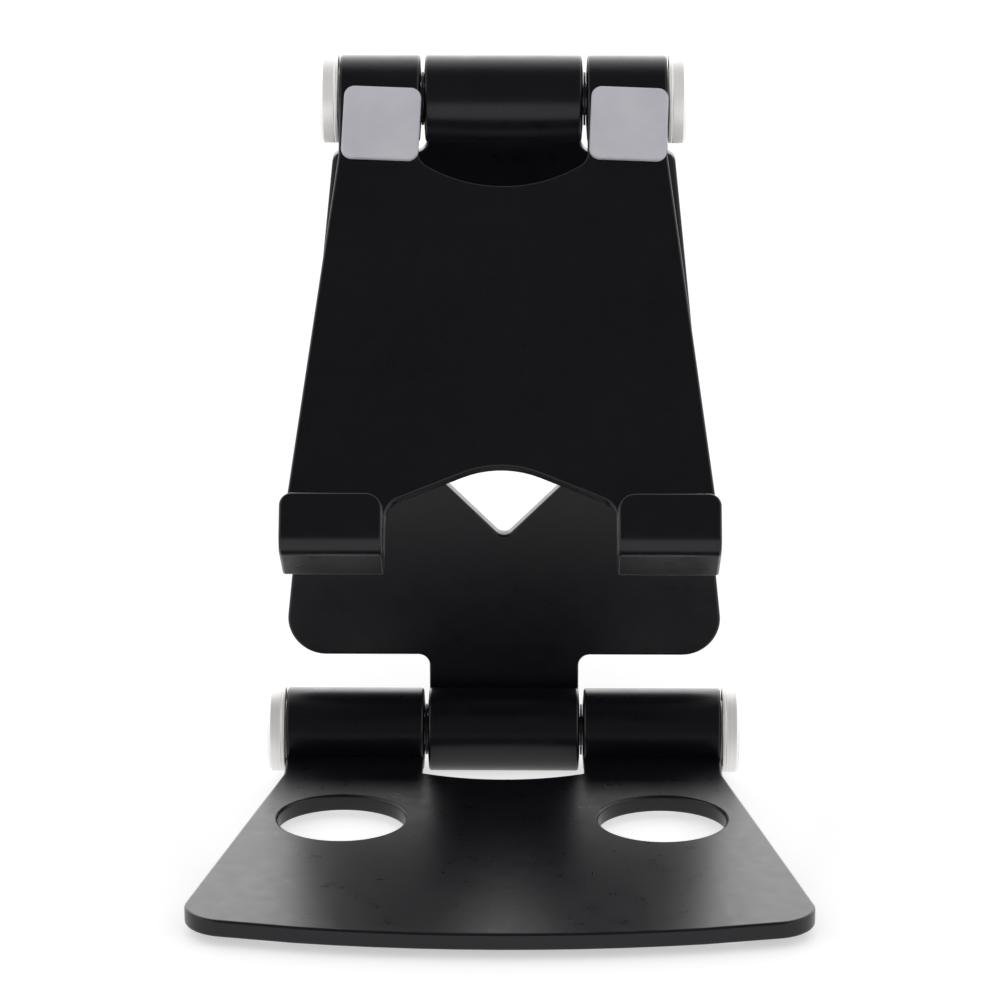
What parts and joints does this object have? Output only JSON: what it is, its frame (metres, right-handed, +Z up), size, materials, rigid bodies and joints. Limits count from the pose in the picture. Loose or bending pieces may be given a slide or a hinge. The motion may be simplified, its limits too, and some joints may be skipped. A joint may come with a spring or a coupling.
{
  "type": "phone stand",
  "caption": "Folding phone stand: a wide flat base, a tapering arm with a diamond window, and a hooked phone holder, joined by friction hinges.",
  "frame": {"origin": "bottom centre of the opened stand's box, on the surface it stands on", "axes": "+Z up, -Y towards the user, +X to the user's right, along the hinges"},
  "size_m": [0.0906, 0.0862, 0.1154],
  "materials": {
    "black_anodised": "fine bead-blasted, black anodised, satin",
    "turned_aluminium": "turned, clear",
    "grey_silicone": "matt",
    "bearing_plastic": "smooth, matt",
    "steel": "zinc plated"
  },
  "bodies": {
    "base": {"base_plate": "black_anodised", "foot_pad_front_left": "grey_silicone", "foot_pad_front_right": "grey_silicone", "foot_pad_rear_left": "grey_silicone", "foot_pad_rear_right": "grey_silicone", "lower_bush_left": "bearing_plastic", "lower_bush_right": "bearing_plastic", "lower_cap_left": "turned_aluminium", "lower_cap_right": "turned_aluminium"},
    "lower_pin": {"lower_disc_spring_inner": "steel", "lower_disc_spring_outer": "steel", "lower_nut": "steel", "lower_shaft": "steel", "lower_washer_left": "bearing_plastic", "lower_washer_right": "bearing_plastic"},
    "arm": {"arm_plate": "black_anodised", "lower_middle_bush": "bearing_plastic", "upper_disc_spring_inner": "steel", "upper_disc_spring_outer": "steel", "upper_middle_bush": "bearing_plastic", "upper_nut": "steel", "upper_shaft": "steel", "upper_washer_left": "bearing_plastic", "upper_washer_right": "bearing_plastic"},
    "holder": {"holder_plate": "black_anodised", "hook_pad_left": "grey_silicone", "hook_pad_right": "grey_silicone", "phone_pad_left": "grey_silicone", "phone_pad_right": "grey_silicone", "upper_bush_left": "bearing_plastic", "upper_bush_right": "bearing_plastic", "upper_cap_left": "turned_aluminium", "upper_cap_right": "turned_aluminium"}
  },
  "joints": [
    {"name": "lower_pin_turn", "type": "hinge", "parent": "base", "child": "lower_pin", "pos_m": [0, 0.03648, 0.0067], "axis": [-1, 0, 0], "range_deg": [-39.5, 0]},
    {"name": "arm_tilt", "type": "hinge", "parent": "lower_pin", "child": "arm", "pos_m": [0, 0.03648, 0.0067], "axis": [-1, 0, 0], "range_deg": [-39.5, 92]},
    {"name": "holder_tilt", "type": "hinge", "parent": "arm", "child": "holder", "pos_m": [0, 0.03184, 0.1088], "axis": [-1, 0, 0], "range_deg": [-35.5, 134]}
  ]
}
